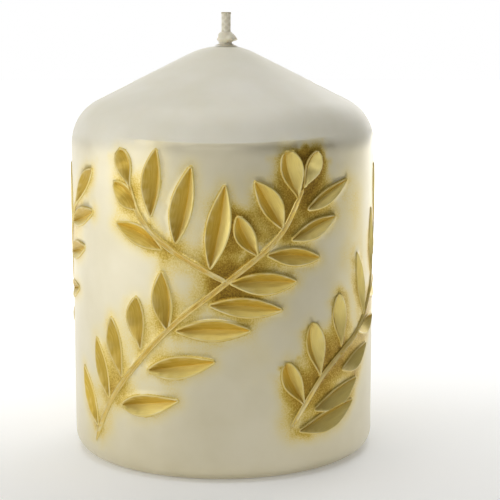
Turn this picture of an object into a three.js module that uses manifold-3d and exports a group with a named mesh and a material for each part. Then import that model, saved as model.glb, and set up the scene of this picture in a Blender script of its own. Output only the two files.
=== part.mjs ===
// A pillar candle with carved and gilded leaf sprigs.
// Millimetres, +Z up, origin at the middle of the flat base, front towards -Y.
import * as THREE from 'three';
import { mergeVertices } from 'three/addons/utils/BufferGeometryUtils.js';
import Module from 'manifold-3d';

const wasm = await Module();
wasm.setup();

// Driving dimensions of the candle
const candleRadius = 40;
const sideHeight = 81.4; // straight side, from the table to the start of the shoulder
const shoulderRadius = 12.6;
const coneSlope = THREE.MathUtils.degToRad(26.4);
const tipRadius = 20; // rounding of the cone's point
const baseEdgeRadius = 4.7;
const dipThickness = 3; // wax built up on the core by dipping
const coreEdgeRadius = 7;
const fitGap = 0.3; // clearance between neighbouring pieces
const baseOverlap = 0.01; // the shell's cavity is cut this far through its underside

// Wick, its tinplate foot and the two wax seals
const wickRadius = 1.3;
const wickFootHeight = 0.9;
const wickTipHeight = 115.4;
const wickTipOffset = 0.9; // the wick leans this far to +X at its tip
const footPlate = { radius: 10, bottom: 1.5, thickness: 0.5, neckRadius: 2.2, neckTop: 7 };
const footRecess = { radius: 12, depth: 2.4 };
const sealRing = { inner: 8, bottom: 0.3, shelf: 8.6 };
const topBead = { radius: 2.4, height: 3.4, offset: 0.7, foot: 1 };
const beadOutline = [[0.95, 0.55], [0.72, 0.9], [0, 1]]; // share of its radius, share of its height

// Carving: each channel has a V section that is sunk below the candle's side.
// The gold lies in it as a liner: hollow < liner < cut, with the fit gap outside the liner.
const stemHalfWidth = 0.9;
const stemStep = 8; // length of each straight stretch of a stem
const leafDepthRatio = 0.58; // depth of a leaf's V to half its width
const linerWall = 0.4; // stand-in thickness of the gold
const linerGap = 0.45; // how much wider and deeper the wax is cut than the gold
const leafDepthGrowth = 0.8; // how fast a leaf deepens as it widens
const leafOutline = [[0, 0], [0.33, 0.85], [0.75, 0.88], [1, 0]]; // along, half width

// Round pieces are drawn with this many facets
const bodyFacets = 40;
const smallFacets = 20;
const wickFacets = 12;
const arcSteps = 3;
const leafSides = 4; // a leaf's channel is a lozenge in section
const cutClearance = 5; // how far a cutting tool runs out beyond the wax

// A sprig lies on the unrolled side: across and up in mm, turned to its place round the candle.
// Each leaf is [distance of its foot along the stem, length, width, lean from upright in degrees].
const forkedSprig = {
  turn: 0,
  stem: [[-38, 7], [-32, 17.5], [-24, 27.5], [-12, 40], [1, 50.5], [14, 61.5], [20, 72]],
  leaves: [
    [3, 17, 4.6, -28], [12.5, 16.5, 4.2, -20], [11.5, 21, 5, 80], [20, 16, 4.6, -14],
    [24, 22.5, 5.2, 80], [29, 15, 4.9, -5], [39.5, 14.3, 4.9, -5.5], [39.5, 20.2, 4.8, 89],
    [50, 20.4, 4.4, 95], [59, 17, 4.8, 91], [68.5, 11, 4.4, -27], [69.5, 15.8, 4, 96],
    [72.5, 20, 4, 71], [77.5, 13.8, 5.1, -31], [80, 20.7, 3.3, 64], [86, 12, 5.7, -16],
    [88, 10.4, 4.3, 26],
  ],
};
const sideShoot = {
  turn: 0,
  stem: [[1, 50.3], [-5, 53.4], [-11, 56.8], [-18.5, 62.3], [-22, 67], [-24.2, 73]],
  leaves: [
    [5, 21.4, 5.4, 10.5], [15, 21, 5.2, 12], [10.5, 21.6, 4.4, -67], [23, 19.8, 4.8, 5.5],
    [29, 9.7, 4.6, -47], [33.5, 10.5, 4.6, -18],
  ],
};
const climbingSprig = {
  stem: [[-19.5, 13.5], [-15.5, 19], [-10, 25.5], [-3, 30.5], [3, 33.8], [10, 39.5], [15, 46], [19, 57], [27, 67]],
  leaves: [
    [0.5, 23.5, 5, 76], [6, 12.2, 4.8, -25], [2, 22.9, 5, 72], [14, 14.5, 5.4, -11],
    [11, 24.2, 4.4, 71.5], [23.5, 14.8, 5, -5], [31, 15, 4.2, 82], [37.5, 17.2, 4.2, -16],
    [43, 17, 4.2, 80], [49, 18, 4, -4], [55, 17, 4.2, 78], [64, 16, 4, -12], [65, 17, 4.2, 75],
    [71, 16, 4.2, 50],
  ],
};
const climbingTurns = { right: 53, back: 151, left: 250 }; // degrees, seen from above

const materials = {
  pearlWax: new THREE.MeshStandardMaterial({ color: '#e4dcc6', roughness: 0.42, metalness: 0 }),
  coreWax: new THREE.MeshStandardMaterial({ color: '#f1ece0', roughness: 0.6, metalness: 0 }),
  sealWax: new THREE.MeshStandardMaterial({ color: '#efe8d8', roughness: 0.5, metalness: 0 }),
  cotton: new THREE.MeshStandardMaterial({ color: '#f3efe6', roughness: 0.85, metalness: 0 }),
  tinplate: new THREE.MeshStandardMaterial({ color: '#c9c9c6', roughness: 0.35, metalness: 1 }),
  gold: new THREE.MeshStandardMaterial({ color: '#c9a53c', roughness: 0.45, metalness: 0.5 }),
};

// three.js geometry to a solid that can be joined and cut, and back
function solidOf(geometry) {
  const bare = geometry.clone();
  bare.deleteAttribute('normal');
  bare.deleteAttribute('uv');
  const merged = mergeVertices(bare, 1e-4);
  const corners = merged.index.array;
  const triangles = [];
  for (let i = 0; i < corners.length; i += 3) {
    const [a, b, c] = corners.slice(i, i + 3);
    if (a !== b && b !== c && c !== a) triangles.push(a, b, c);
  }
  return new wasm.Manifold(new wasm.Mesh({
    numProp: 3,
    vertProperties: new Float32Array(merged.attributes.position.array),
    triVerts: new Uint32Array(triangles),
  }));
}

function geometryOf(solid) {
  const { vertProperties, triVerts } = solid.getMesh();
  const geometry = new THREE.BufferGeometry();
  geometry.setAttribute('position', new THREE.BufferAttribute(vertProperties, 3));
  geometry.setIndex(new THREE.BufferAttribute(triVerts, 1));
  geometry.computeVertexNormals();
  return geometry;
}

function joined(solids) {
  return solids.reduce((whole, piece) => whole.add(piece));
}

function mesh(name, geometry, material) {
  const piece = new THREE.Mesh(geometry, material);
  piece.name = name;
  return piece;
}

// Turned solids: profiles are (radius, height), counterclockwise, revolved about +Z
function turned(profile, facets) {
  const points = profile.map(([radius, height]) => new THREE.Vector2(radius, height));
  return new THREE.LatheGeometry(points, facets).rotateX(Math.PI / 2);
}

function arc(centreRadius, centreHeight, radius, from, to, steps) {
  const points = [];
  for (let i = 0; i <= steps; i += 1) {
    const angle = from + ((to - from) * i) / steps;
    points.push([
      centreRadius + radius * Math.cos(angle),
      centreHeight + radius * Math.sin(angle),
    ]);
  }
  return points;
}

// The candle's outline, or the same outline set in by some distance with its own base edge
function candleProfile(inset, edgeRadius) {
  const coneStart = Math.PI / 2 - coneSlope;
  const shoulderMiddle = candleRadius - shoulderRadius;
  const coneRadius = shoulderMiddle + shoulderRadius * Math.cos(coneStart);
  const coneBottom = sideHeight + shoulderRadius * Math.sin(coneStart);
  const tipMiddle = coneBottom + coneRadius * Math.tan(coneSlope) - tipRadius / Math.cos(coneSlope);
  const sideRadius = candleRadius - inset;
  return [
    [0, 0],
    ...arc(sideRadius - edgeRadius, edgeRadius, edgeRadius, -Math.PI / 2, 0, arcSteps),
    ...arc(shoulderMiddle, sideHeight, shoulderRadius - inset, 0, coneStart, arcSteps),
    ...arc(0, tipMiddle, tipRadius - inset, coneStart, Math.PI / 2, arcSteps).slice(0, -1),
    [0, tipMiddle + tipRadius - inset],
  ];
}

// The wick's line, for the wick itself and for the bores that clear it
function wickLine(radius, bottom, top) {
  const lean = Math.atan2(wickTipOffset, wickTipHeight);
  const length = (top - bottom) / Math.cos(lean);
  return new THREE.CylinderGeometry(radius, radius, length, wickFacets)
    .rotateX(Math.PI / 2)
    .translate(0, 0, bottom + length / 2)
    .rotateY(lean);
}

// Unrolled side (across, up, out of the surface) to its place on the candle
function wrapped(geometry, turn) {
  const positions = geometry.attributes.position;
  for (let i = 0; i < positions.count; i += 1) {
    const angle = positions.getX(i) / candleRadius + THREE.MathUtils.degToRad(turn);
    const radius = candleRadius + positions.getZ(i);
    const height = positions.getY(i);
    positions.setXYZ(i, radius * Math.sin(angle), -radius * Math.cos(angle), height);
  }
  return geometry;
}

function stemCurve(sprig) {
  return new THREE.CatmullRomCurve3(sprig.stem.map(([across, up]) => new THREE.Vector3(across, up, 0)));
}

// grow widens and deepens the channel; below zero it gives the hollow inside the gold
function stemChannel(sprig, grow) {
  const half = stemHalfWidth + grow;
  const section = new THREE.Shape([
    new THREE.Vector2(half, 0),
    new THREE.Vector2(0, half),
    new THREE.Vector2(-half, 0),
    new THREE.Vector2(0, -half),
  ]);
  const curve = stemCurve(sprig);
  const steps = Math.round(curve.getLength() / stemStep);
  const channel = new THREE.ExtrudeGeometry(section, { steps, extrudePath: curve });
  return solidOf(wrapped(channel, sprig.turn));
}

function leafChannel(sprig, [distance, length, width, lean], grow) {
  const curve = stemCurve(sprig);
  const foot = curve.getPointAt(Math.min(distance / curve.getLength(), 1));
  const halfWidth = width / 2 + grow;
  const depth = (width / 2) * leafDepthRatio + grow * leafDepthGrowth;
  const outline = leafOutline.map(([along, half]) => new THREE.Vector2(half, along));
  const channel = new THREE.LatheGeometry(outline, leafSides)
    .scale(halfWidth, length + 2 * grow, depth)
    .translate(0, -grow, 0)
    .rotateZ(-THREE.MathUtils.degToRad(lean))
    .translate(foot.x, foot.y, 0);
  return solidOf(wrapped(channel, sprig.turn));
}

function sprigChannels(sprigs, grow) {
  return joined(sprigs.flatMap((sprig) => [
    stemChannel(sprig, grow),
    ...sprig.leaves.map((leaf) => leafChannel(sprig, leaf, grow)),
  ]));
}

// Four gildings: the forked sprig in front, and three that climb up the side
const gildings = { gilding_front: [forkedSprig, sideShoot] };
for (const [place, turn] of Object.entries(climbingTurns)) {
  gildings[`gilding_${place}`] = [{ ...climbingSprig, turn }];
}
const candleSolid = solidOf(turned(candleProfile(0, baseEdgeRadius), bodyFacets));

function gildingPieces() {
  const group = new THREE.Group();
  for (const [name, sprigs] of Object.entries(gildings)) {
    const liner = sprigChannels(sprigs, 0).intersect(candleSolid);
    const gold = liner.subtract(sprigChannels(sprigs, -linerWall));
    group.add(mesh(name, geometryOf(gold), materials.gold));
  }
  return group;
}

function overdipShell() {
  const inside = candleProfile(dipThickness, coreEdgeRadius);
  const cavity = solidOf(turned(inside, bodyFacets).translate(0, 0, -baseOverlap));
  const wickHole = solidOf(wickLine(wickRadius + fitGap, candleRadius, wickTipHeight));
  const carving = joined(Object.values(gildings).map((sprigs) => sprigChannels(sprigs, linerGap)));
  return candleSolid.subtract(cavity).subtract(wickHole).subtract(carving);
}

function waxCore() {
  const block = solidOf(turned(candleProfile(dipThickness + fitGap, coreEdgeRadius), bodyFacets));
  const neckBore = footPlate.neckRadius + fitGap;
  const recess = turned([
    [0, -cutClearance],
    [footRecess.radius, -cutClearance],
    [footRecess.radius, footRecess.depth],
    [neckBore, footRecess.depth],
    [neckBore, footPlate.neckTop + fitGap],
    [0, footPlate.neckTop + fitGap],
  ], smallFacets);
  const bore = solidOf(wickLine(wickRadius + fitGap, footRecess.depth, wickTipHeight));
  return block.subtract(solidOf(recess)).subtract(bore);
}

function sustainer() {
  const neckInside = wickRadius + fitGap;
  const plateTop = footPlate.bottom + footPlate.thickness;
  return turned([
    [neckInside, footPlate.bottom],
    [footPlate.radius, footPlate.bottom],
    [footPlate.radius, plateTop],
    [footPlate.neckRadius, plateTop],
    [footPlate.neckRadius, footPlate.neckTop],
    [neckInside, footPlate.neckTop],
    [neckInside, footPlate.bottom],
  ], smallFacets);
}

// A bead of wax poured round the foot plate's rim, flush inside the recess
function baseSeal() {
  const outside = footRecess.radius - fitGap;
  const underPlate = footPlate.bottom - fitGap;
  const besidePlate = footPlate.radius + fitGap;
  const top = footRecess.depth - fitGap;
  return turned([
    [sealRing.inner, sealRing.bottom],
    [outside, sealRing.bottom],
    [outside, top],
    [besidePlate, top],
    [besidePlate, underPlate],
    [sealRing.shelf, underPlate],
    [sealRing.inner, sealRing.bottom],
  ], smallFacets);
}

// The drop of wax that closes the bore at the top, round the wick's root
function wickBead() {
  const apex = candleProfile(0, baseEdgeRadius).at(-1)[1];
  const bottom = apex - topBead.foot; // the foot is cut away where it meets the cone
  const drop = turned([
    [0, bottom],
    [topBead.radius, bottom],
    ...beadOutline.map(([out, up]) => [topBead.radius * out, apex + topBead.height * up]),
  ], smallFacets).translate(topBead.offset, 0, 0);
  const seat = solidOf(turned(candleProfile(-fitGap, baseEdgeRadius), bodyFacets));
  const bore = solidOf(wickLine(wickRadius + fitGap, sideHeight, wickTipHeight + cutClearance));
  return solidOf(drop).subtract(seat).subtract(bore);
}

const wickAssembly = new THREE.Group();
wickAssembly.add(
  mesh('wick', wickLine(wickRadius, wickFootHeight, wickTipHeight), materials.cotton),
  mesh('wick_sustainer', sustainer(), materials.tinplate),
  mesh('base_seal', baseSeal(), materials.sealWax),
  mesh('wick_bead', geometryOf(wickBead()), materials.sealWax),
);

const waxBody = new THREE.Group();
waxBody.add(
  mesh('wax_core', geometryOf(waxCore()), materials.coreWax),
  mesh('overdip_shell', geometryOf(overdipShell()), materials.pearlWax),
);

const candle = new THREE.Group();
candle.add(waxBody, wickAssembly, gildingPieces());

export default candle;
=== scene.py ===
# Pillar candle with carved and gilded leaf sprigs, on a pale studio floor
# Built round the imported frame: metres, +Z up, front towards -Y
import math
import bmesh
import bpy
import numpy as np
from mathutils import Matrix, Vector, noise
from mathutils.geometry import delaunay_2d_cdt


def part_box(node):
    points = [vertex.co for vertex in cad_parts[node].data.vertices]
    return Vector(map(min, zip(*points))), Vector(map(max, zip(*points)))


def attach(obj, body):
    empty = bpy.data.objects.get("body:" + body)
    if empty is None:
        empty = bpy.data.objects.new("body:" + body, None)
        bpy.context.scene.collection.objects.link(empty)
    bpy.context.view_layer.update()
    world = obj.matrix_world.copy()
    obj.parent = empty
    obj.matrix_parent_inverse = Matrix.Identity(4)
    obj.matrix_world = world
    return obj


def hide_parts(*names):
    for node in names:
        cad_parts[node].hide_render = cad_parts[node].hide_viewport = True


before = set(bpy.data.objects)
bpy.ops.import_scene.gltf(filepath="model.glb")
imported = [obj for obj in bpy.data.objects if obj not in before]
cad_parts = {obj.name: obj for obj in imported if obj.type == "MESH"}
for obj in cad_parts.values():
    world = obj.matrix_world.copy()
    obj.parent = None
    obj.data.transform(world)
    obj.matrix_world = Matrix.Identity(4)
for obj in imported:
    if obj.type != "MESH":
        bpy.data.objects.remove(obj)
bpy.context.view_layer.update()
print("Frame loaded")

mm = 0.001
shellLow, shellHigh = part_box("overdip_shell")
wickLow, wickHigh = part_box("wick")
plateLow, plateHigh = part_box("wick_sustainer")
sealLow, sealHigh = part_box("base_seal")
root = "root"

# Everything below is in millimetres until a mesh is made
candle = {
    "radius": (shellHigh[0] - shellLow[0]) / 2 / mm,
    "sideHeight": 81.4,  # straight side, up to the shoulder
    "shoulderRadius": 12.6,
    "coneSlope": math.radians(26.4),
    "tipRadius": 20.0,
    "baseEdge": 4.7,
    "bore": 1.6,  # radius of the hole for the wick
    "dip": 3.0,  # wax built up on the core
    "coreEdge": 7.0,
    "gap": 0.3,
    "leanFrom": 60.0,  # above this the rings lean with the wick
    "leanReach": 8.0,  # and as far out from the bore as this
    "around": 240,  # corners round the candle
    "waveSize": 26.0,
    "waveHeight": 0.1,  # unevenness left by hand dipping
    "seam": math.radians(115),  # where the unrolled side is joined, clear of every leaf
}

carving = {
    "leafDepth": 0.36,  # depth of a leaf's cut to its width
    "leafWidth": 0.95,  # width cut to the width in a leaf's row
    "stemWidth": 0.85,
    "stemDepth": 0.4,
    "stemBurr": 0.5,  # the stem's burr is this much narrower than a leaf's
    "stemBurrHeight": 0.8,  # and this much lower
    "edgeRise": 0.1,  # the cut's lip
    "burrHeight": 0.26,  # wax pushed up beside the cut
    "burrCrest": 0.24,
    "burrFoot": 0.8,
    "gildEdge": 0.55,  # how far the gold film reaches past the cut
    "film": 0.06,
    "filmTop": 0.02,  # the film's face over the cut wax
    "filmRim": 0.004,
    "leafMist": (0.45, 2.4),  # strength and reach of the gold mist round a leaf
    "stemMist": (0.55, 8.0),
    "footReach": 10.0,  # length of the darker foot of a leaf
    "gridStep": 1.3,
}

# Spots where the gold mist is heavier or lighter: across, up, reach, extra mist. Several dark ones are
# painted shade laid over the mist, and negative ones clear it
mistAndShadeSpots = [
    (3, 62, 4.5, 3.0), (24, 79, 5, 2.0), (24, 30, 6, 1.0), (33, 44, 6, 1.0), (17, 70, 9, 1.6),
    (21, 77, 5, 4.0), (3.5, 57.5, 4.5, 5.0), (2, 47.5, 7, 1.2), (-38, 66, 6, 1.2), (-22, 83, 7, -0.9),
    (-9, 70, 7, -0.5), (20, 20, 8, 1.4), (31, 31, 9, 1.4), (37, 54, 7, 2.5), (78, 50, 10, 0.8),
    (-130, 40, 12, 0.6),
]

# Gold mist clear of the carving, partly painted shade on the side's dim right: across, up, reach, amount
driftAndShadeSpots = [
    (38, 68, 8, 0.3), (38, 54, 8, 0.35), (10, 33, 7, 0.12), (46, 28, 8, 0.15), (4, 66, 8, 0.12),
]
paintedLightFrom = (-0.85, 0.5)  # painted light from the upper left: the walls facing it get a painted highlight, the walls facing away painted shade

# Edge of the pearl lacquer: a low lip of dried film just above the straight side
# It's sharp over a few stretches, each given by its middle and half its width in degrees
lacquerLip = {
    "height": 84.7,
    "dip": 0.6,
    "rise": 0.18,
    "below": 0.35,
    "above": 0.7,
    "fade": 5.0,
    "stretches": [(3, 46), (-150, 25), (-200, 18), (78, 9)],
}

# A leaf: distance of its foot along the stem, start of the cut, length, width, lean from
# upright, share of the width left of the crease, widest place, roundness of the tip, bend
forkedSprig = {
    "turn": 0,
    "stem": [(-38, 7), (-32, 17.5), (-24, 27.5), (-12, 40), (1, 50.5), (14, 61.5), (20, 72)],
    "leaves": [
        (3, 1.6, 17.0, 5.0, -28, 0.55, 0.5, 0.1, 0.0),
        (12.5, 1.5, 16.5, 4.6, -20, 0.6, 0.5, 0.1, 0.0),
        (11.5, 5.2, 21.0, 5.4, 80, 0.46, 0.4, 0.0, 0.3),
        (20, 1.7, 16.0, 5.0, -14, 0.66, 0.58, 0.35, 0.0),
        (24, 5.6, 22.5, 5.6, 80, 0.5, 0.45, 0.1, 0.2),
        (29, 2.6, 15.0, 5.3, -5, 0.7, 0.6, 0.35, 0.0),
        (39.5, 0.4, 14.3, 5.3, -5.5, 0.72, 0.5, 0.1, 0.3),
        (39.5, 2.6, 20.2, 5.2, 89, 0.5, 0.5, 0.1, -0.2),
        (50, 3.0, 20.4, 4.8, 95, 0.42, 0.5, 0.1, -0.4),
        (58.5, 1.4, 17.5, 5.4, 91, 0.4, 0.5, 0.2, -0.2),
        (68.5, 0.8, 11.0, 4.8, -27, 0.5, 0.55, 0.5, -0.5),
        (69.5, 1.8, 15.8, 4.4, 96, 0.4, 0.5, 0.2, -0.3),
        (70.5, 7.8, 21.5, 4.4, 70, 0.5, 0.5, 0.1, 0.2),
        (77.5, 0.8, 13.8, 5.5, -31, 0.46, 0.5, 0.2, 0.5),
        (80, 6.3, 20.7, 3.7, 64, 0.5, 0.45, 0.0, 0.2),
        (86, 0.3, 12.0, 6.1, -16, 0.45, 0.62, 0.9, 0.0),
        (88, 1.7, 10.4, 4.7, 26, 0.4, 0.62, 0.8, 0.0),
    ],
}
sideShoot = {
    "turn": 0,
    "stem": [(1, 50.3), (-5, 53.4), (-11, 56.8), (-18.5, 62.3), (-22, 67), (-24.2, 73)],
    "leaves": [
        (5, 1.6, 21.4, 5.8, 10.5, 0.56, 0.48, 0.1, 0.4),
        (15, 2.6, 21.0, 5.6, 12, 0.64, 0.46, 0.1, 0.3),
        (10.5, 7.9, 21.6, 4.8, -67, 0.5, 0.5, 0.1, 0.4),
        (23, 4.0, 19.8, 5.2, 5.5, 0.7, 0.5, 0.2, 0.2),
        (29, 0.8, 9.7, 5.0, -47, 0.5, 0.5, 0.5, 0.0),
        (35, 0.5, 9.5, 5.0, -18, 0.55, 0.65, 0.9, 0.0),
    ],
}
climbingSprig = {
    "stem": [(-19.5, 13.5), (-15.5, 19), (-10, 25.5), (-3, 30.5), (3, 33.8), (10, 39.5), (15, 46),
             (19, 57), (27, 67)],
    "leaves": [
        (-3, 4.2, 23.5, 5.4, 76, 0.4, 0.5, 0.1, 0.4),
        (6, 0.5, 12.2, 5.2, -25, 0.6, 0.62, 0.8, 0.0),
        (2, 5.9, 22.9, 5.4, 72, 0.4, 0.5, 0.2, 0.4),
        (14, 1.2, 14.5, 5.8, -11, 0.5, 0.6, 0.7, 0.0),
        (11, 10.6, 24.2, 4.8, 71.5, 0.4, 0.5, 0.2, 0.4),
        (23.5, 2.0, 14.8, 5.4, -5, 0.55, 0.6, 0.6, 0.0),
        (31, 2.0, 15.0, 4.6, 82, 0.5, 0.5, 0.1, 0.2),
        (37.5, 0.5, 17.2, 4.6, -16, 0.5, 0.5, 0.1, 0.3),
        (43, 1.5, 17.0, 4.6, 80, 0.5, 0.5, 0.1, 0.0),
        (49, 1.0, 18.0, 4.4, -4, 0.5, 0.5, 0.1, 0.0),
        (55, 1.5, 17.0, 4.6, 78, 0.5, 0.5, 0.2, 0.0),
        (64, 1.0, 16.0, 4.4, -12, 0.5, 0.5, 0.1, 0.0),
        (65, 1.5, 17.0, 4.6, 75, 0.5, 0.5, 0.2, 0.0),
        (71, 0.5, 16.0, 4.6, 50, 0.6, 0.6, 0.3, 0.0),
    ],
}
# Node of each gilding, and the sprigs in it with their turn round the candle in degrees
gildings = {
    "gilding_front": [forkedSprig, sideShoot],
    "gilding_right": [{**climbingSprig, "turn": 53}],
    "gilding_back": [{**climbingSprig, "turn": 151 - 360}],
    "gilding_left": [{**climbingSprig, "turn": 250 - 360}],
}


def linear(hexColour):
    parts = [int(hexColour[i:i + 2], 16) / 255 for i in (1, 3, 5)]
    return tuple(c / 12.92 if c <= 0.04045 else ((c + 0.055) / 1.055) ** 2.4 for c in parts) + (1.0,)


def setNode(tree, node, settings=None, links=None):
    # settings: colour stops, input values or attributes by name
    # links: input name to an output, or to a node for its first output in use
    for key, value in (settings or {}).items():
        if isinstance(value, str) and value.startswith("#"):
            value = linear(value)
        if key == "stops":
            elements = node.color_ramp.elements
            while len(elements) < len(value):
                elements.new(0.5)
            for element, (position, colour) in zip(elements, value):
                element.position = position
                element.color = linear(colour)
        elif isinstance(key, int) or key in node.inputs:
            node.inputs[key].default_value = value
        else:
            setattr(node, key, value)
    for key, source in (links or {}).items():
        if isinstance(source, bpy.types.Node):
            source = next(socket for socket in source.outputs if socket.enabled)
        tree.links.new(source, node.inputs[key])


def addNode(tree, kind, settings=None, links=None):
    node = tree.nodes.new("ShaderNode" + kind)
    setNode(tree, node, settings, links)
    return node


def newMaterial(name):
    material = bpy.data.materials.new(name)
    material.use_nodes = True
    tree = material.node_tree
    tree.nodes.clear()
    shader = addNode(tree, "BsdfPrincipled")
    addNode(tree, "OutputMaterial", None, {"Surface": shader.outputs["BSDF"]})
    return material, tree, shader


def makePiece(name, points, faces, material, nodes, attributes, sharpAngle):
    mesh = bpy.data.meshes.new(name)
    mesh.from_pydata((np.asarray(points) * mm).tolist(), [], [list(map(int, f)) for f in faces])
    for key, values in (attributes or {}).items():
        layer = mesh.attributes.new(key, "FLOAT", "POINT")
        layer.data.foreach_set("value", np.asarray(values, dtype=np.float32))
    mesh.validate()
    mesh.shade_smooth()
    mesh.set_sharp_from_angle(angle=math.radians(sharpAngle))
    mesh.update()
    piece = bpy.data.objects.new(name, mesh)
    bpy.context.collection.objects.link(piece)
    mesh.materials.append(material)
    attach(piece, root)
    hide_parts(*nodes)
    return piece


def wave(points):
    # soft unevenness that joins up all the way round
    size = candle["waveSize"]
    return np.array([noise.noise(Vector(p) / size) for p in points]) * candle["waveHeight"]


def arcPoints(centre, radius, start, end, count):
    angles = np.linspace(start, end, count)
    return [(centre[0] + radius * math.cos(a), centre[1] + radius * math.sin(a)) for a in angles]


def coneParts():
    start = math.pi / 2 - candle["coneSlope"]
    middle = candle["radius"] - candle["shoulderRadius"]
    coneRadius = middle + candle["shoulderRadius"] * math.cos(start)
    coneBottom = candle["sideHeight"] + candle["shoulderRadius"] * math.sin(start)
    apex = coneBottom + coneRadius * math.tan(candle["coneSlope"])
    return start, middle, apex - candle["tipRadius"] / math.cos(candle["coneSlope"])


coneStart, shoulderMiddle, tipMiddle = coneParts()
apexHeight = tipMiddle + candle["tipRadius"]
wickLean = math.atan2((wickHigh[0] + wickLow[0]) / mm, wickHigh[2] / mm)


def wickCentre(height):
    # how far to the right the leaning wick stands
    return math.tan(wickLean) * height


def upperProfile(inset, fromAngle, counts):
    # shoulder, cone and rounded tip, from an angle on the shoulder up to the wick's bore
    shoulder = arcPoints((shoulderMiddle, candle["sideHeight"]), candle["shoulderRadius"] - inset,
                         fromAngle, coneStart, counts[0])
    boreAngle = math.acos(candle["bore"] / (candle["tipRadius"] - inset))
    tip = arcPoints((0, tipMiddle), candle["tipRadius"] - inset, coneStart, boreAngle, counts[2])
    last, first = np.array(shoulder[-1]), np.array(tip[0])
    cone = [tuple(last + (first - last) * k / counts[1]) for k in range(1, counts[1])]
    return shoulder + cone + tip


def ringAngles(count):
    return np.linspace(0, 2 * math.pi, count, endpoint=False)


def wickRing(angles, radius, height):
    # a ring round the wick, wherever it leans to at that height
    return np.column_stack([radius * np.cos(angles) + wickCentre(height), radius * np.sin(angles),
                            np.full(len(angles), height)])


def ringPoints(profile, count, startAngle=0.0):
    # rings of a turned surface; near the top the rings shift over to the leaning wick
    angles = startAngle + ringAngles(count)
    rings = []
    for radius, height in profile:
        share = max(0.0, 1 - (radius - candle["bore"]) / candle["leanReach"]) ** 2
        shift = share * wickCentre(height) if height > candle["leanFrom"] else 0.0
        rings.append(np.column_stack([radius * np.sin(angles) + shift,
                                      -radius * np.cos(angles),
                                      np.full(count, height)]))
    return np.concatenate(rings)


def ringFaces(rings, count, first=0, closed=False):
    faces = []
    for j in range(rings if closed else rings - 1):
        low, high = first + j * count, first + ((j + 1) % rings) * count
        for i in range(count):
            k = (i + 1) % count
            faces.append((low + i, low + k, high + k, high + i))
    return faces


def capFaces(first, count, centre, up):
    ring = [first + i for i in range(count)]
    pairs = zip(ring, ring[1:] + ring[:1])
    return [(a, b, centre) if up else (b, a, centre) for a, b in pairs]


# The carving is worked out on the unrolled side: across, up, and out of the surface
def smoothPath(points, step):
    # centripetal curve through the points, evenly stepped
    pts = [np.array(p, float) for p in points]
    pts = [2 * pts[0] - pts[1]] + pts + [2 * pts[-1] - pts[-2]]
    line = []
    for a, b, c, d in zip(pts, pts[1:], pts[2:], pts[3:]):
        t1 = np.linalg.norm(b - a) ** 0.5
        t2 = t1 + np.linalg.norm(c - b) ** 0.5
        t3 = t2 + np.linalg.norm(d - c) ** 0.5
        for t in np.linspace(t1, t2, 24, endpoint=False):
            ab = a + (b - a) * t / t1
            bc = b + (c - b) * (t - t1) / (t2 - t1)
            cd = c + (d - c) * (t - t2) / (t3 - t2)
            abc = ab + (bc - ab) * t / t2
            bcd = bc + (cd - bc) * (t - t1) / (t3 - t1)
            line.append(abc + (bcd - abc) * (t - t1) / (t2 - t1))
    line = np.array(line + [pts[-2]])
    lengths = np.concatenate([[0], np.cumsum(np.linalg.norm(np.diff(line, axis=0), axis=1))])
    count = max(2, round(lengths[-1] / step) + 1)
    places = np.linspace(0, lengths[-1], count)
    path = np.column_stack([np.interp(places, lengths, line[:, i]) for i in (0, 1)])
    return path, lengths[-1]


def smooth(x):
    x = np.clip(x, 0, 1)
    return x * x * (3 - 2 * x)


def burr(distance, height):
    # cross-section of the wax pushed up outside a cut
    lip, crest, foot = carving["edgeRise"], carving["burrCrest"], carving["burrFoot"]
    rising = lip + (height - lip) * smooth(distance / crest)
    falling = height * (1 - smooth((distance - crest) / (foot - crest)))
    return np.where(distance < crest, rising, falling)


def leftOf(tangent):
    # unit normals to the left of a chain
    tangent = tangent / np.linalg.norm(tangent, axis=1)[:, None]
    return np.column_stack([-tangent[:, 1], tangent[:, 0]])


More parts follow.
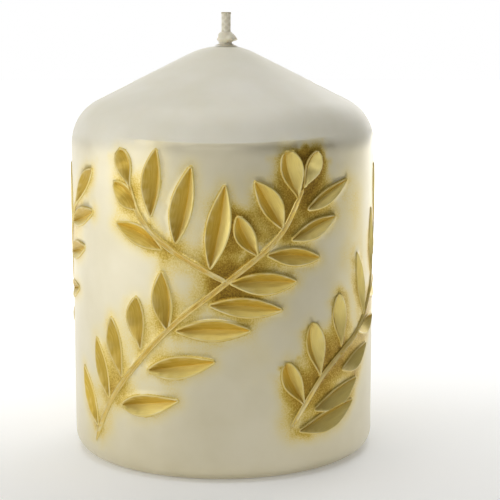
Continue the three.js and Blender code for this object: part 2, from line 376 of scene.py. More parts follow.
class Leaf:
    def __init__(self, row, path, pathLength, turnShift):
        at, start, length, width, lean, share, widest, roundTip, bend = row
        angle = math.radians(lean)
        place = min(at / pathLength, 1.0) * (len(path) - 1)
        low = max(0, min(int(place), len(path) - 2))
        foot = path[low] + (path[low + 1] - path[low]) * (place - low)
        self.along = np.array([math.sin(angle), math.cos(angle)])
        self.right = np.array([math.cos(angle), -math.sin(angle)])
        self.foot = foot + self.along * start + np.array([turnShift, 0])
        self.length = length - start
        # rows give the width over the crests
        self.width = width * carving["leafWidth"] - 2 * carving["burrCrest"]
        self.share = share
        self.skew = math.log(0.5) / math.log(widest)
        self.round = roundTip
        self.bend = bend
        self.depth = width * carving["leafDepth"]

    def outline(self, s):
        s = np.clip(s, 0, 1)
        power = 1.0 - 0.55 * self.round * s
        return np.maximum(np.sin(math.pi * s ** self.skew), 0) ** power

    def axis(self, s):
        return self.bend * 4 * s * (1 - s)

    def halfWidth(self, s, side):
        part = np.where(side < 0, self.share, 1 - self.share)
        return self.width * part * self.outline(s)

    def local(self, points):
        offset = points - self.foot
        s = offset @ self.along / self.length
        v = offset @ self.right - self.axis(np.clip(s, 0, 1))
        return s, v

    def field(self, points):
        # height of the surface by this leaf, and the distance outside its cut
        s, v = self.local(points)
        w = self.halfWidth(s, v)
        slope = (self.halfWidth(s + 0.01, v) - self.halfWidth(s - 0.01, v)) / (0.02 * self.length)
        beside = (np.abs(v) - w) / np.sqrt(1 + slope ** 2)
        beyond = np.where(s < 0, -s, s - 1) * self.length
        distance = np.where((s > 0) & (s < 1), beside, np.hypot(beyond, v))
        inward = 1 - np.clip(np.abs(v) / np.maximum(w, 1e-6), 0, 1)
        cut = -self.depth * self.outline(s) ** 0.8 * inward + carving["edgeRise"] * (1 - inward) ** 3
        inside = (s > 0) & (s < 1) & (np.abs(v) < w)
        height = np.where(inside, cut, burr(np.maximum(distance, 0), carving["burrHeight"]))
        return height, np.where(inside, -0.01 - inward, np.maximum(distance, 0)), s * self.length, v

    def lines(self):
        # feature lines of the leaf: crease, walls, lips and burr, as open or closed chains
        count = max(10, round(self.length * 1.15))
        s = (1 - np.cos(np.linspace(0, math.pi, count + 1))) / 2
        centre = self.foot + np.outer(s * self.length, self.along) + np.outer(self.axis(s), self.right)
        sides = {side: np.outer(self.halfWidth(s, np.full(s.shape, side)), self.right) * side
                 for side in (-1, 1)}
        chains = [(centre, False)]
        for share in (0.5, 1.0):
            for side in (-1, 1):
                chains.append((centre + sides[side] * share, False))
        loop = np.concatenate([(centre + sides[-1])[:-1], (centre + sides[1])[::-1][:-1]])
        tangent = np.roll(loop, -1, axis=0) - np.roll(loop, 1, axis=0)
        tangent[0] = -self.right * np.linalg.norm(tangent[0])
        tangent[count] = self.right * np.linalg.norm(tangent[count])
        normal = leftOf(tangent)
        for reach in (carving["burrCrest"], carving["gildEdge"], carving["burrFoot"]):
            chains.append((loop + normal * reach, True))
        return chains


class Stem:
    def __init__(self, path, pathLength, turnShift):
        self.path = path + np.array([turnShift, 0])
        self.length = pathLength

    def field(self, points):
        best = np.full(len(points), 1e9)
        along = np.zeros(len(points))
        step = self.length / (len(self.path) - 1)
        for i, (a, b) in enumerate(zip(self.path, self.path[1:])):
            edge = b - a
            t = np.clip((points - a) @ edge / (edge @ edge), 0, 1)
            reach = np.linalg.norm(points - (a + t[:, None] * edge), axis=1)
            nearer = reach < best
            best = np.where(nearer, reach, best)
            along = np.where(nearer, (i + t) * step, along)
        half = self.half(along)
        inward = 1 - np.clip(best / half, 0, 1)
        groove = 1 - (1 - inward) ** 2.2
        cut = -carving["stemDepth"] * half * 2 / carving["stemWidth"] * groove
        cut = cut + carving["edgeRise"] * (1 - inward) ** 3
        distance = np.maximum(best - half, 0) / carving["stemBurr"]
        burrHeight = carving["burrHeight"] * carving["stemBurrHeight"]
        height = np.where(best < half, cut, burr(distance, burrHeight))
        # the stem isn't darkened at its foot, so its distances start past that reach
        distance = np.where(best < half, -0.01 - inward, distance)
        return height, distance, along + carving["footReach"], best

    def half(self, along):
        ends = np.minimum(along / 3 + 0.35, (self.length - along) / 6 + 0.4)
        return carving["stemWidth"] / 2 * np.clip(ends, 0, 1)

    def lines(self):
        step = self.length / (len(self.path) - 1)
        along = np.arange(len(self.path)) * step
        normal = leftOf(np.gradient(self.path, axis=0))
        half = self.half(along)
        chains = [(self.path, False)]
        for reach in (0.0, carving["burrCrest"], carving["gildEdge"], carving["burrFoot"]):
            for side in (-1, 1):
                away = half + reach * carving["stemBurr"]
                chains.append((self.path + normal * (away * side)[:, None], False))
        return chains


def makeFeatures():
    features = []
    for node, sprigs in gildings.items():
        for sprig in sprigs:
            path, length = smoothPath(sprig["stem"], 0.8)
            shift = math.radians(sprig["turn"]) * candle["radius"]
            features.append((node, Stem(path, length, shift)))
            features += [(node, Leaf(row, path, length, shift)) for row in sprig["leaves"]]
    return features


features = makeFeatures()
zone = {
    "left": (candle["seam"] - 2 * math.pi) * candle["radius"],
    "right": candle["seam"] * candle["radius"],
    "low": candle["baseEdge"],
    "high": 88.0,
}


def sprayed(points, spots):
    # sum of soft round spots, each with its own reach and amount
    total = np.zeros(len(points))
    for across, up, reach, amount in spots:
        apart = (points[:, 0] - across) ** 2 + (points[:, 1] - up) ** 2
        total += amount * np.exp(-apart / reach ** 2)
    return total


def surveyFields(points):
    # surface height, distance to the nearest cut, its node, the mist and the grain at every point
    count = len(points)
    lowest, highest = np.zeros(count), np.zeros(count)
    nearest = np.full(count, 99.0)
    owner = np.full(count, -1)
    onStem = np.zeros(count)
    mist = np.zeros(count)
    grain = np.zeros((count, 2))
    facing = np.zeros(count)
    nodeNames = list(gildings)
    mistMargin = 12.0  # mist is worked out as far from a cut as this
    for node, feature in features:
        chain = np.concatenate([c for c, _ in feature.lines()[:3]])
        low, high = chain.min(axis=0) - mistMargin, chain.max(axis=0) + mistMargin
        which = np.flatnonzero(np.all((points > low) & (points < high), axis=1))
        if not len(which):
            continue
        height, distance, u, v = feature.field(points[which])
        lowest[which] = np.minimum(lowest[which], height)
        highest[which] = np.maximum(highest[which], height)
        closer = distance < nearest[which]
        nearest[which] = np.where(closer, distance, nearest[which])
        owner[which] = np.where(closer, nodeNames.index(node), owner[which])
        grain[which] = np.where(closer[:, None], np.column_stack([u, v]), grain[which])
        isStem = isinstance(feature, Stem)
        # how each leaf's walls turn to the painted light, for the painted highlight and painted shade in
        # the gold
        away = 0 if isStem else -feature.right @ np.array(paintedLightFrom)
        facing[which] = np.where(closer, away, facing[which])
        onStem[which] = np.where(closer, isStem, onStem[which])
        strength, reach = carving["stemMist" if isStem else "leafMist"]
        mist[which] += strength * np.exp(-(np.maximum(distance, 0) / reach) ** 2)
    # the spots make the mist heavier and lighter; the darkening ones partly add painted shade
    mist = mist * np.maximum(1 + sprayed(points, mistAndShadeSpots), 0) + sprayed(points, driftAndShadeSpots)
    surface = np.where(lowest < 0, lowest, highest)
    return {"surface": surface, "nearest": nearest, "owner": owner, "onStem": onStem, "mist": mist,
            "grain": grain, "facing": facing}


def patchiness(points, size, layer):
    return np.array([noise.noise(Vector((p[0] / size, p[1] / size, layer))) for p in points])


def lipHeight(across):
    # where the lacquer ends, along the unrolled shoulder
    return lacquerLip["height"] - lacquerLip["dip"] * np.cos(3 * across / candle["radius"])


def lipSharpness(across):
    degrees = np.degrees(across / candle["radius"])
    sharpness = np.zeros(len(across))
    for middle, half in lacquerLip["stretches"]:
        sharpness = np.maximum(sharpness, smooth((half - np.abs(degrees - middle)) / 12))
    return sharpness


def lipRise(points):
    # the lip's cross-section, broken up along its length
    above = points[:, 1] - lipHeight(points[:, 0])
    reach = np.where(above < 0, lacquerLip["below"], lacquerLip["above"])
    patch = 0.8 + 0.8 * patchiness(points, 3.5, 5)
    rise = lacquerLip["rise"] * patch * lipSharpness(points[:, 0])
    fromSeam = np.minimum(points[:, 0] - zone["left"], zone["right"] - points[:, 0])
    return rise * (1 - smooth(np.abs(above) / reach)) * smooth(fromSeam / 4)


def unrolledMesh():
    # triangles of the side with every crease, lip and burr on an edge
    columns = np.linspace(zone["left"], zone["right"], candle["around"] + 1)
    rowCount = round((zone["high"] - zone["low"]) / carving["gridStep"]) + 1
    rows = np.linspace(zone["low"], zone["high"], rowCount)
    chains = [(np.column_stack([columns, np.full(len(columns), rows[0])]), False),
              (np.column_stack([columns, np.full(len(columns), rows[-1])]), False),
              (np.column_stack([np.full(len(rows), columns[0]), rows]), False),
              (np.column_stack([np.full(len(rows), columns[-1]), rows]), False)]
    inner = np.array([(x + (0.5 if k % 2 else 0) * (columns[1] - columns[0]), z)
                      for k, z in enumerate(rows[1:-1]) for x in columns[1:-2]])
    nearest = surveyFields(inner)["nearest"]
    offLip = np.abs(inner[:, 1] - lipHeight(inner[:, 0])) > lacquerLip["above"] + 0.3
    inner = inner[(nearest > carving["burrFoot"] + 0.45) & offLip]
    fine = np.linspace(zone["left"], zone["right"], 2 * candle["around"] + 1)[1:-1]
    below, above = lacquerLip["below"], lacquerLip["above"]
    for reach in (-below, -below / 2, 0, above / 2, above):
        chains.append((np.column_stack([fine, lipHeight(fine) + reach]), False))
    for _, feature in features:
        chains += feature.lines()
    points, edges = [tuple(p) for p in inner], []
    for chain, closed in chains:
        first = len(points)
        points += [tuple(p) for p in chain]
        edges += [(first + i, first + i + 1) for i in range(len(chain) - 1)]
        if closed:
            edges.append((first + len(chain) - 1, first))
    result = delaunay_2d_cdt([Vector(p) for p in points], edges, [], 0, 0.01)
    return np.array([tuple(p) for p in result[0]]), np.array(result[2])


def onCandle(flat, out):
    # unrolled points to their place on the candle
    shoulder, side = candle["shoulderRadius"], candle["sideHeight"]
    tilt = np.maximum(flat[:, 1] - side, 0) / shoulder
    radius = np.where(tilt > 0, shoulderMiddle + shoulder * np.cos(tilt), candle["radius"])
    height = np.where(tilt > 0, side + shoulder * np.sin(tilt), flat[:, 1])
    radius = radius + out * np.cos(tilt)
    height = height + out * np.sin(tilt)
    angle = flat[:, 0] / candle["radius"]
    return np.column_stack([radius * np.sin(angle), -radius * np.cos(angle), height])


flat, triangles = unrolledMesh()
fields = surveyFields(flat)
print("Side unrolled:", len(flat), "points,", len(triangles), "triangles")


def paraffinPearlLacquered():
    # White paraffin, dipped, then sprayed with pearl lacquer: a soft silky gloss with no grain,
    # faint cloudiness in the wax, and a mist of gold round the carving whose thick parts go dark olive,
    # partly as painted shade
    material, tree, shader = newMaterial("paraffinPearlLacquered")
    place = addNode(tree, "TexCoord").outputs["Object"]
    gilt, lacquer = (addNode(tree, "Attribute", {"attribute_name": key}).outputs["Fac"]
                     for key in ("gilt", "lacquer"))
    cloud = addNode(tree, "TexNoise", {"Scale": 1 / (14 * mm), "Detail": 3.0}, {"Vector": place})
    wax, pearl = (addNode(tree, "ValToRGB", {"stops": stops}, {"Fac": cloud})
                  for stops in ([(0.3, "#e2ddc9"), (0.7, "#eae6d7")],
                                [(0.3, "#dbd2b4"), (0.7, "#e4dcc2")]))
    coated = addNode(tree, "Mix", {"data_type": "RGBA"}, {"Factor": lacquer, "A": wax, "B": pearl})
    # mist droplets are 0.1 mm on the candle, drawn at 0.35 mm so that they show
    droplets = addNode(tree, "TexNoise", {"Scale": 1 / (0.35 * mm), "Detail": 2.0}, {"Vector": place})
    speckle = addNode(tree, "MapRange",
                      {"From Min": 0.3, "From Max": 0.7, "To Min": 0.78, "To Max": 1.22},
                      {"Value": droplets})
    mist = addNode(tree, "Math", {"operation": "MULTIPLY", "use_clamp": True}, {0: gilt, 1: speckle})
    # the dense end of the mist is dark olive-brown: heavy gold, darkened further as painted shade
    mistStops = [(0.0, "#eedf9c"), (0.35, "#e0c662"), (0.7, "#a98626"), (1.0, "#7c5c14")]
    mistAndShadeColour = addNode(tree, "ValToRGB", {"stops": mistStops}, {"Fac": mist})
    cover = addNode(tree, "MapRange", {"From Max": 0.5}, {"Value": mist})
    colour = addNode(tree, "Mix", {"data_type": "RGBA"},
                     {"Factor": cover, "A": coated, "B": mistAndShadeColour})
    shine = addNode(tree, "MapRange", {"To Max": 0.72}, {"Value": lacquer})
    giltShine = addNode(tree, "Math", {"operation": "MULTIPLY_ADD", "use_clamp": True, 1: 0.2},
                        {0: mist, 2: shine})
    rough = addNode(tree, "MapRange", {"To Min": 0.5, "To Max": 0.34}, {"Value": lacquer})
    # lacquer dries with a skin like very fine orange peel, 0.8 mm across
    peel = addNode(tree, "TexNoise", {"Scale": 1 / (0.8 * mm), "Detail": 2.0}, {"Vector": place})
    bump = addNode(tree, "Bump", {"Strength": 0.12, "Distance": 0.05 * mm}, {"Height": peel})
    setNode(tree, shader, {"IOR": 1.44, "Subsurface Weight": 0.12,
                           "Subsurface Radius": (0.004, 0.003, 0.002), "Subsurface Scale": 0.5,
                           "Coat Weight": 0.25, "Coat Roughness": 0.3},
            {"Base Color": colour, "Metallic": giltShine, "Roughness": rough, "Normal": bump})
    return material


def goldPaintBrushed():
    # Gold lacquer paint brushed into the cuts, then dusted over: satin, a little darker towards each
    # leaf's foot, streaked along each leaf, thin and pale on the burr, with a painted highlight on the
    # burr's crest and painted light from the upper left on the walls
    material, tree, shader = newMaterial("goldPaintBrushed")
    place = addNode(tree, "TexCoord").outputs["Object"]
    gilt, pooled, worn, along, across, facing = (
        addNode(tree, "Attribute", {"attribute_name": key}).outputs["Fac"]
        for key in ("gilt", "pooled", "worn", "grainAlong", "grainAcross", "facing"))
    grainPlace = addNode(tree, "CombineXYZ", links={"X": along, "Y": across})
    # gouge streaks 0.3 mm apart and several mm long; the attributes are in mm
    stretched = addNode(tree, "Mapping", {"Scale": (0.22, 3.0, 1.0)}, {"Vector": grainPlace})
    streaks = addNode(tree, "TexNoise", {"Scale": 1.0, "Detail": 3.0, "Roughness": 0.6},
                      {"Vector": stretched})
    paint = addNode(tree, "ValToRGB", {"stops": [(0.3, "#dcb844"), (0.55, "#f0d05c"), (0.75, "#fae27e")]},
                    {"Fac": streaks})
    # painted light from the upper left: the wall towards it gets a painted highlight, the wall away from
    # it painted shade
    side = addNode(tree, "MapRange", {"From Min": -0.12, "From Max": 0.12, "To Min": -1.0},
                   {"Value": across})
    towards = addNode(tree, "Math", {"operation": "MULTIPLY"}, {0: side, 1: facing})
    lit, unlit = (addNode(tree, "MapRange", {"From Max": end, "To Max": most},
                          {"Value": towards})
                  for end, most in ((1.0, 0.75), (-1.0, 0.55)))
    # darker towards each leaf's foot
    depth = addNode(tree, "Math", {"operation": "MULTIPLY", 1: 0.3}, {0: pooled})
    for tint, amount in (("#fff0a0", lit), ("#98761f", unlit), ("#74540f", depth)):
        paint = addNode(tree, "Mix", {"data_type": "RGBA", "B": tint}, {"Factor": amount, "A": paint})
    thin = addNode(tree, "MapRange", {"From Min": 0.3, "From Max": 0.9}, {"Value": gilt})
    misty = addNode(tree, "Mix", {"data_type": "RGBA", "A": "#dcc468"}, {"Factor": thin, "B": paint})
    # the burr's crest is paler: worn thin paint, plus a painted highlight
    pale = addNode(tree, "Mix", {"data_type": "RGBA", "B": "#f3e7b4"}, {"Factor": worn, "A": misty})
    metal = addNode(tree, "MapRange", {"To Min": 0.55, "To Max": 0.25}, {"Value": worn})
    flake = addNode(tree, "TexNoise", {"Scale": 1 / (0.4 * mm), "Detail": 2.0}, {"Vector": place})
    rough = addNode(tree, "MapRange", {"To Min": 0.34, "To Max": 0.46}, {"Value": flake})
    bump = addNode(tree, "Bump", {"Strength": 0.3, "Distance": 0.12 * mm}, {"Height": streaks})
    setNode(tree, shader, {"IOR": 1.5},
            {"Base Color": pale, "Metallic": metal, "Roughness": rough, "Normal": bump})
    return material


def paraffinCast(name, light, dark, grit):
    # Bare paraffin: milky, matt, with the faint mottle of cooled wax
    material, tree, shader = newMaterial(name)
    place = addNode(tree, "TexCoord").outputs["Object"]
    mottle = addNode(tree, "TexNoise", {"Scale": 1 / (grit * mm), "Detail": 4.0}, {"Vector": place})
    colour = addNode(tree, "ValToRGB", {"stops": [(0.3, dark), (0.7, light)]}, {"Fac": mottle})
    bump = addNode(tree, "Bump", {"Strength": 0.3, "Distance": 0.1 * mm}, {"Height": mottle})
    setNode(tree, shader, {"Roughness": 0.5, "IOR": 1.44, "Subsurface Weight": 0.3,
                           "Subsurface Radius": (0.004, 0.003, 0.002), "Subsurface Scale": 0.6},
            {"Base Color": colour, "Normal": bump})
    return material


def cottonWickWaxed():
    # Braided cotton soaked in wax: off-white, the yarns just showing through the wax, with painted shade
    # in the grooves between them
    material, tree, shader = newMaterial("cottonWickWaxed")
    place = addNode(tree, "TexCoord").outputs["Object"]
    # cotton fibres are finer; they run along the wick and are drawn 0.3 mm wide so that they show
    stretched = addNode(tree, "Mapping", {"Scale": (1.0, 1.0, 0.12)}, {"Vector": place})
    fibres = addNode(tree, "TexNoise", {"Scale": 1 / (0.3 * mm), "Detail": 3.0},
                     {"Vector": stretched})
    yarn, end = (addNode(tree, "Attribute", {"attribute_name": key}).outputs["Fac"]
                 for key in ("yarn", "cutEnd"))
    cotton = addNode(tree, "ValToRGB", {"stops": [(0.3, "#dcd4bd"), (0.7, "#f0ebdb")]},
                     {"Fac": fibres})
    # painted shade: the grooves between the yarns are painted darker
    filled = addNode(tree, "MapRange", {"To Min": 0.6}, {"Value": yarn})
    grooveShadedCotton = addNode(tree, "Mix", {"data_type": "RGBA", "A": "#bdb394"},
                      {"Factor": filled, "B": cotton})
    tip = addNode(tree, "Mix", {"data_type": "RGBA", "B": "#a79d77"}, {"Factor": end, "A": grooveShadedCotton})
    bump = addNode(tree, "Bump", {"Strength": 0.4, "Distance": 0.1 * mm}, {"Height": fibres})
    setNode(tree, shader, {"Roughness": 0.55, "Subsurface Weight": 0.15,
                           "Subsurface Radius": (0.002, 0.0015, 0.001), "Subsurface Scale": 0.5},
            {"Base Color": tip, "Normal": bump})
    return material


def tinplateStamped():
    # Tinned steel, stamped: pale grey metal with rolling lines and a few dull patches
    material, tree, shader = newMaterial("tinplateStamped")
    place = addNode(tree, "TexCoord").outputs["Object"]
    rolled = addNode(tree, "Mapping", {"Scale": (0.05, 1.0, 1.0)}, {"Vector": place})
    lines = addNode(tree, "TexNoise", {"Scale": 1 / (0.25 * mm), "Detail": 3.0}, {"Vector": rolled})
    patches = addNode(tree, "TexNoise", {"Scale": 1 / (4 * mm), "Detail": 3.0}, {"Vector": place})
    colour = addNode(tree, "ValToRGB", {"stops": [(0.35, "#b4b3ae"), (0.65, "#cfcfcc")]},
                     {"Fac": patches})
    rough = addNode(tree, "MapRange", {"To Min": 0.25, "To Max": 0.45}, {"Value": lines})
    bump = addNode(tree, "Bump", {"Strength": 0.15, "Distance": 0.02 * mm}, {"Height": lines})
    setNode(tree, shader, {"Metallic": 1.0},
            {"Base Color": colour, "Roughness": rough, "Normal": bump})
    return material


pearlWax = paraffinPearlLacquered()
goldPaint = goldPaintBrushed()
coreWax = paraffinCast("paraffinCorePressed", "#f3eee2", "#e2dac8", 1.2)
sealWax = paraffinCast("paraffinSealPoured", "#efe7d2", "#ddd3b8", 2.5)
cottonWick = cottonWickWaxed()
tinplate = tinplateStamped()


def goldTriangles():
    centres = flat[triangles].mean(axis=1)
    return surveyFields(centres)["nearest"] < carving["gildEdge"] * 0.97


def wearAndHighlightAmount(fields, points):
    # the pale crest of the burr, thin worn paint with a painted highlight, broken here and there, and the
    # thinner paint of a stem
    distance = fields["nearest"]
    crest = np.exp(-((distance - carving["burrCrest"] * 0.8) / 0.17) ** 2)
    crest = crest * (0.5 + 0.9 * patchiness(points, 2.5, 7))
    stemFoot = 1 - smooth((fields["grain"][:, 0] - carving["footReach"] - 2) / 6)
    stem = fields["onStem"] * (0.5 + 0.5 * patchiness(points, 3.0, 3) + 0.5 * stemFoot)
    return np.clip(np.where(distance < 0, stem, crest), 0, 1)


def giltAmount(fields, points):
    # 1 in a cut, thinner on the burr, then the mist that fades out over the wax
    distance = fields["nearest"]
    spread = fields["mist"] * (0.85 + 0.9 * patchiness(points, 9, 0) + 0.4 * patchiness(points, 3, 2))
    mist = 0.9 * (1 - np.exp(-np.maximum(spread, 0)))
    thinning = 0.45 * smooth(distance / carving["burrCrest"]) - 0.2 * smooth((distance - 0.22) / 0.4)
    onBurr = 0.8 * (1 - thinning)
    nearCut = np.where(distance < 0, 1.0, np.where(distance < carving["gildEdge"], onBurr, 0.0))
    return np.clip(np.maximum(mist, nearCut), 0, 1)


gilt = giltAmount(fields, flat)
worn = wearAndHighlightAmount(fields, flat)
isGold = goldTriangles()
surface = fields["surface"] + lipRise(flat)


def calmEdges(points):
    # the side is even where other surfaces join it
    return smooth((points[:, 1] - zone["low"]) / 6) * smooth((zone["high"] - points[:, 1]) / 4)


rippled = wave(onCandle(flat, np.zeros(len(flat)))) * calmEdges(flat)


def makeShell():
    # one closed skin: carved side, shoulder and cone, bore, hollow for the core, base ring
    goldOnly = np.ones(len(flat), bool)
    goldOnly[triangles[~isGold].ravel()] = False
    sunk = surface - np.where(goldOnly, carving["film"], 0)
    side = onCandle(flat, sunk + rippled)
    count = candle["around"]
    upTilt = (zone["high"] - candle["sideHeight"]) / candle["shoulderRadius"]
    # turned surfaces start at the seam angle so that their corners meet the side's
    above = upperProfile(0, upTilt, (12, 14, 10))
    baseEdge = candle["baseEdge"]
    below = arcPoints((candle["radius"] - baseEdge, baseEdge), baseEdge, 0, -math.pi / 2, 9)
    inside = upperProfile(candle["dip"], 0, (8, 6, 6))[::-1]
    innerRadius, coreEdge = candle["radius"] - candle["dip"], candle["coreEdge"]
    inside += arcPoints((innerRadius - coreEdge, coreEdge), coreEdge, 0, -math.pi / 2, 8)
    topRings = ringPoints(above, count, candle["seam"])
    fade = smooth((topRings[:, 2] - topRings[0, 2]) / 5)
    topRings[:, 2] += wave(topRings) * fade
    shell = np.concatenate([side, topRings, ringPoints(inside, count, candle["seam"]),
                            ringPoints(below[::-1], count, candle["seam"])])
    first = len(side)
    rings = len(above) + len(inside) + len(below)
    faces = [tuple(t) for t in triangles] + ringFaces(rings, count, first)
    width = lacquerLip["above"] / 2 + lacquerLip["fade"] * (1 - lipSharpness(flat[:, 0]))
    coated = 1 - smooth((flat[:, 1] - lipHeight(flat[:, 0]) + width) / width)
    isBelow = np.arange(len(shell)) >= len(shell) - len(below) * count
    lacquer = np.concatenate([coated, np.where(isBelow[first:], 1.0, 0.0)])
    onSide = np.concatenate([gilt, np.zeros(len(shell) - first)])
    piece = makePiece("pearlWaxShell", shell, faces, pearlWax, ["overdip_shell"],
                      {"gilt": onSide, "lacquer": lacquer}, 40)
    weld(piece, 0.02)  # closes the seams between the side and the turned rings


def weld(piece, distance):
    work = bmesh.new()
    work.from_mesh(piece.data)
    rims = [v for v in work.verts if v.is_boundary]
    bmesh.ops.remove_doubles(work, verts=rims, dist=distance * mm)
    bmesh.ops.recalc_face_normals(work, faces=work.faces)
    loose = [e for e in work.edges if len(e.link_faces) != 2]
    print(piece.name, "open edges:", len(loose), "faces:", len(work.faces))
    work.to_mesh(piece.data)
    work.free()


def makeGilding(node, index):
    # a thin closed film that follows the cut surface
    mine = triangles[isGold & (fields["owner"][triangles[:, 0]] == index)]
    used, packed = np.unique(mine, return_inverse=True)
    packed = packed.reshape(mine.shape)
    edges = np.concatenate([packed[:, [0, 1]], packed[:, [1, 2]], packed[:, [2, 0]]])
    pairs = {(a, b) for a, b in edges.tolist()}
    rim = [(a, b) for a, b in pairs if (b, a) not in pairs]
    onRim = np.zeros(len(used), bool)
    onRim[np.array(rim).ravel()] = True
    cut, filmTop = (surface + rippled)[used], carving["filmTop"]
    top = onCandle(flat[used], cut + filmTop)
    under = onCandle(flat[used], cut + np.where(onRim, carving["filmRim"], filmTop - carving["film"]))
    count = len(used)
    faces = [tuple(t) for t in packed] + [tuple(t[::-1] + count) for t in packed]
    faces += [(b, a, a + count, b + count) for a, b in rim]
    inCut = np.where(fields["nearest"][used] < 0, 1.0, 0.0)
    grain = fields["grain"][used]
    pooled = inCut * (1 - smooth(grain[:, 0] / carving["footReach"])) ** 1.3
    attributes = {"gilt": gilt[used], "pooled": pooled, "worn": worn[used], "grainAlong": grain[:, 0],
                  "grainAcross": grain[:, 1], "facing": fields["facing"][used]}
    doubled = {key: np.tile(values, 2) for key, values in attributes.items()}
    makePiece(node.replace("gilding", "goldSprig"), np.concatenate([top, under]), faces, goldPaint,
              [node], doubled, 40)


def makeCore():
    # pressed wax pillar with the wick's bore and the recess for its foot
    core = {"recess": 12.0, "depth": 2.4, "neck": 2.5, "neckTop": 7.2, "around": 160}
    inset = candle["dip"] + candle["gap"]
    radius, edge = candle["radius"] - inset, candle["coreEdge"]
    recess, bore = core["recess"], candle["bore"]
    profile = [(recess, core["depth"]), (recess, 0.4), (recess + 0.15, 0.12), (recess + 0.45, 0)]
    profile += [(recess + (radius - edge - recess) * k / 8, 0) for k in range(1, 8)]
    profile += arcPoints((radius - edge, edge), edge, -math.pi / 2, 0, 8)
    profile += upperProfile(inset, 0, (10, 8, 6))
    profile += [(bore, 60.0), (bore, core["neckTop"] + 0.1), (core["neck"], core["neckTop"]),
                (core["neck"], core["depth"])]
    makePiece("pressedWaxCore", ringPoints(profile, core["around"]),
              ringFaces(len(profile), core["around"], closed=True),
              coreWax, ["wax_core"], None, 35)


def makeWick():
    # square-braided wick, thickly waxed: the yarns cross in chevrons
    wick = {"radius": 1.2, "yarn": 0.05, "yarnPitch": 3.4, "flare": 0.14, "around": 48}
    low, high = wickLow[2] / mm, wickHigh[2] / mm
    # rings stand close together only above the hidden part
    heights = np.concatenate([np.arange(low, 100, 1.1), np.arange(100, high - 0.3, 0.16),
                              [high - 0.22, high - 0.08, high]])
    angles = ringAngles(wick["around"])
    points, yarn, cutEnd = [], [], []
    for z in heights:
        turn = 2 * math.pi * z / wick["yarnPitch"]
        crossing = np.maximum(np.abs(np.cos(angles * 2 + turn)), np.abs(np.cos(angles * 2 - turn)))
        top = smooth((z - high + 1.4) / 1.4)
        radius = wick["radius"] + wick["yarn"] * (crossing - 0.6) + wick["flare"] * top ** 3
        radius -= 0.2 * smooth((z - high + 0.12) / 0.12)
        points.append(wickRing(angles, radius, z))
        yarn.append(np.clip((crossing - 0.7) / 0.3, 0, 1))
        cutEnd.append(np.full(len(angles), smooth((z - high + 0.5) / 0.4)))
    rings, count = len(heights), wick["around"]
    ends = [(0.0, 0.0, low), (wickCentre(high), 0.0, high - 0.06)]
    middle = []
    for k, share in enumerate((0.66, 0.33)):
        ring = (points[-1] - np.array([wickCentre(high), 0, high])) * share
        ring[:, 2] = 0.05 * np.cos(angles * 4 + k)
        middle.append(ring + np.array([wickCentre(high), 0, high - 0.07]))
    points = points + middle
    faces = ringFaces(rings + 2, count)
    allPoints = np.concatenate(points + [np.array(ends)])
    lowCentre, topCentre = len(allPoints) - 2, len(allPoints) - 1
    faces += capFaces(0, count, lowCentre, False)
    faces += capFaces((rings + 1) * count, count, topCentre, True)
    extra = 2 * count + 2
    makePiece("braidedWick", allPoints, faces, cottonWick, ["wick"],
              {"yarn": np.concatenate(yarn + [np.full(extra, 0.6)]),
               "cutEnd": np.concatenate(cutEnd + [np.ones(extra)])}, 60)


def makeBead():
    # wax that ran back round the wick's root: a neck, a collar and one fat drop on the right
    bead = {"around": 72, "lump": 0.35, "lumpSize": 1 / 1.7}
    # height above the cone's top, radius on the left, radius on the right
    rows = [(-0.45, 3.1, 3.2), (-0.2, 2.6, 2.7), (0.0, 2.25, 2.4), (0.2, 2.0, 2.2), (0.35, 1.85, 2.0),
            (0.55, 1.78, 1.6), (0.8, 1.9, 1.45), (1.05, 2.05, 1.8), (1.3, 2.15, 2.6), (1.6, 2.2, 2.9),
            (2.0, 2.2, 2.85), (2.4, 2.2, 2.5), (2.8, 2.15, 2.1), (3.1, 2.0, 1.8), (3.3, 1.75, 1.6),
            (3.45, 1.5, 1.48), (3.55, 1.36, 1.4)]
    angles = ringAngles(bead["around"])
    right = smooth((np.cos(angles + 0.35) - 0.15) / 0.7)
    rings = []
    for rise, left, rightRadius in rows:
        height = apexHeight + rise
        radius = left + (rightRadius - left) * right
        lumps = np.array([noise.noise(Vector((math.cos(a), math.sin(a), rise * 0.9)) / bead["lumpSize"])
                          for a in angles])
        radius = radius + bead["lump"] * lumps * smooth(rise) * smooth((3.4 - rise) / 0.6)
        ring = wickRing(angles, radius, height)
        if rise < 0.3:
            # the lowest rings lie along the rounded tip of the candle
            reach = np.hypot(ring[:, 0], ring[:, 1])
            over = candle["tipRadius"] + 0.04 + max(rise + 0.75, 0) * 0.45
            ring[:, 2] = tipMiddle + np.sqrt(over ** 2 - reach ** 2)
        rings.append(ring)
    for rise, radius in ((3.45, 1.3), (1.5, 1.5), (0.35, candle["bore"])):
        rings.append(wickRing(angles, radius, apexHeight + rise))
    faces = ringFaces(len(rings), bead["around"], closed=True)
    makePiece("wickRootBead", np.concatenate(rings), faces, sealWax,
              ["wick_bead"], None, 60)


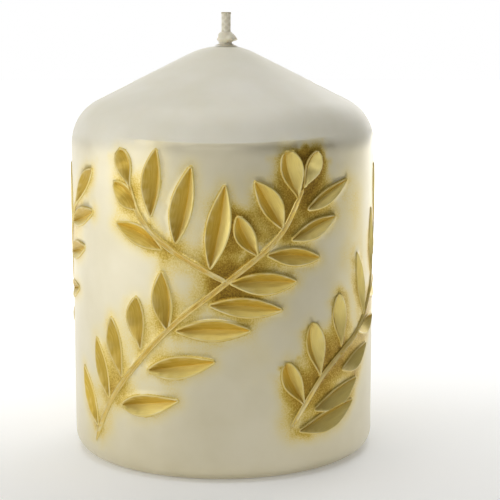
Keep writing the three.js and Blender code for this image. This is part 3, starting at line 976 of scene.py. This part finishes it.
def makeSustainer():
    # stamped plate with a rolled bead near its rim and a neck crimped on the wick
    low, high = plateLow[2] / mm, plateHigh[2] / mm
    radius = plateHigh[0] / mm
    plate = {"sheet": 0.3, "around": 120, "crimps": 4, "crimpDepth": 0.07}
    sheet, count = plate["sheet"], plate["around"]
    top = low + sheet
    under = [(1.75, low + 0.35), (2.1, low + 0.1), (2.6, low), (6.4, low), (6.9, low + 0.16),
             (7.5, low + 0.16), (8.0, low), (radius - 0.12, low), (radius, low + 0.1)]
    over = [(radius, low + 0.22), (radius - 0.12, top), (8.1, top), (7.5, low + 0.46), (6.9, low + 0.46),
            (6.3, top), (3.0, top), (2.4, low + 0.55), (2.15, low + 1.0)]
    neck = [(2.1, high - 0.15), (1.95, high), (1.65, high), (1.55, high - 0.15), (1.7, low + 1.0)]
    profile = under + over + neck
    points = ringPoints(profile, count)
    crimp = 1 - plate["crimpDepth"] * np.maximum(np.cos(ringAngles(count) * plate["crimps"]), 0) ** 3
    for k in range(len(under) + len(over), len(profile)):
        points[k * count:(k + 1) * count, :2] *= crimp[:, None]
    faces = ringFaces(len(profile), count, closed=True)
    makePiece("tinWickSustainer", points, faces, tinplate, ["wick_sustainer"], None, 30)


def makeBaseSeal():
    # wax poured round the plate's rim; its inner edge wanders over the metal
    low, high = sealLow[2] / mm, sealHigh[2] / mm
    radius = sealHigh[0] / mm
    seal = {"around": 144, "wander": 0.7}
    count = seal["around"]
    profile = [(8.0, low + 0.7), (8.15, low + 0.3), (8.7, low + 0.06), (10.0, low),
               (radius - 0.4, low + 0.05), (radius, low + 0.3), (radius, high), (10.35, high),
               (10.35, low + 0.9), (8.3, low + 0.9)]
    points = ringPoints(profile, count)
    wander = seal["wander"] * np.array([noise.noise(Vector((math.cos(a), math.sin(a), 3)) * 1.6)
                                        for a in ringAngles(count)])
    # share of the wander that each ring of the inner edge takes
    for k, share in ((0, 1.0), (1, 1.0), (2, 0.8), (3, 0.2), (9, 1.0)):
        ring = points[k * count:(k + 1) * count]
        reach = np.hypot(ring[:, 0], ring[:, 1])
        ring[:, :2] *= (1 + wander * share / reach)[:, None]
    faces = ringFaces(len(profile), count, closed=True)
    makePiece("pouredBaseSeal", points, faces, sealWax, ["base_seal"], None, 50)


makeShell()
for index, node in enumerate(gildings):
    makeGilding(node, index)
print("Carved shell and gilding made")
makeCore()
makeWick()
makeBead()
makeSustainer()
makeBaseSeal()
print("Core, wick and seals made")


def makeFloor():
    # pale translucent acrylic, lit from beneath behind the candle
    half = 3.0
    mesh = bpy.data.meshes.new("studioFloor")
    corners = [(-half, -half, 0), (half, -half, 0), (half, half, 0), (-half, half, 0)]
    mesh.from_pydata(corners, [], [(0, 1, 2, 3)])
    floor = bpy.data.objects.new("studioFloor", mesh)
    bpy.context.collection.objects.link(floor)
    material, tree, shader = newMaterial("paleAcrylicTable")
    place = addNode(tree, "TexCoord").outputs["Object"]
    parts = addNode(tree, "SeparateXYZ", None, {"Vector": place}).outputs
    away = addNode(tree, "VectorMath", {"operation": "LENGTH"}, {0: place})
    # glow behind the candle, on its left and far off: start and end in metres, strength
    levels = [addNode(tree, "MapRange", {"From Min": start, "From Max": end, "To Max": most},
                      {"Value": source})
              for source, start, end, most in ((parts["Y"], -0.1, 0.4, 0.95),
                                               (parts["X"], -0.04, -0.2, 0.4), (away, 0.7, 1.4, 0.9))]
    near = addNode(tree, "Math", {"operation": "MAXIMUM"}, {0: levels[0], 1: levels[1]})
    glow = addNode(tree, "Math", {"operation": "MAXIMUM"}, {0: near, 1: levels[2]})
    haze = addNode(tree, "TexNoise", {"Scale": 12.0}, {"Vector": place})
    colour = addNode(tree, "ValToRGB", {"stops": [(0.3, "#f6f6f4"), (0.7, "#fbfbfa")]}, {"Fac": haze})
    setNode(tree, shader, {"Roughness": 0.9, "Specular IOR Level": 0.1, "Emission Color": "#ffffff"},
            {"Base Color": colour, "Emission Strength": glow})
    mesh.materials.append(material)


def areaLight(name, place, target, size, power):
    light = bpy.data.lights.new(name, "AREA")
    light.shape = "RECTANGLE"
    light.size, light.size_y = size
    light.energy = power
    lamp = bpy.data.objects.new(name, light)
    lamp.location = place
    lamp.rotation_euler = (Vector(target) - Vector(place)).to_track_quat("-Z", "Y").to_euler()
    bpy.context.collection.objects.link(lamp)


def makeWorld():
    # white behind the candle, dim in front of it
    world = bpy.data.worlds.new("studioWorld")
    world.use_nodes = True
    bpy.context.scene.world = world
    tree = world.node_tree
    tree.nodes.clear()
    ray = addNode(tree, "LightPath").outputs["Is Camera Ray"]
    direction = addNode(tree, "TexCoord").outputs["Generated"]
    backward = addNode(tree, "SeparateXYZ", None, {"Vector": direction}).outputs["Y"]
    level = addNode(tree, "MapRange", {"From Min": 0.6, "To Min": 0.12, "To Max": 1.4},
                    {"Value": backward})
    soft = addNode(tree, "Background", {"Color": "#f7f6f2"}, {"Strength": level})
    white = addNode(tree, "Background", {"Color": "#ffffff", "Strength": 1.0})
    mix = addNode(tree, "MixShader", None, {0: ray, 1: soft, 2: white})
    addNode(tree, "OutputWorld", None, {"Surface": mix})


def makeCamera():
    view = {"distance": 0.3804, "height": 0.1097, "down": 8.58, "aside": 1.08, "lens": 103.0}
    data = bpy.data.cameras.new("studioCamera")
    data.lens = view["lens"]
    data.sensor_width = 36
    camera = bpy.data.objects.new("studioCamera", data)
    camera.location = (0, -view["distance"], view["height"])
    camera.rotation_euler = (math.radians(90 - view["down"]), 0, math.radians(-view["aside"]))
    bpy.context.collection.objects.link(camera)
    bpy.context.scene.camera = camera


makeFloor()
makeWorld()
areaLight("leftSoftbox", (-0.633, -0.146, 0.2), (0, 0, 0.05), (0.85, 0.7), 2.05)
areaLight("rightSoftbox", (0.35, 0.6, 0.3), (0, 0, 0.06), (0.4, 0.6), 1.0)
areaLight("topSoftbox", (0.0, 0.03, 0.75), (0, 0, 0.08), (0.7, 0.7), 2.6)
areaLight("frontSoftbox", (-0.1, -0.6, 0.34), (0, 0, 0.09), (0.5, 0.26), 0.75)
makeCamera()
bpy.context.scene.view_settings.view_transform = "Standard"
print("Studio set up")
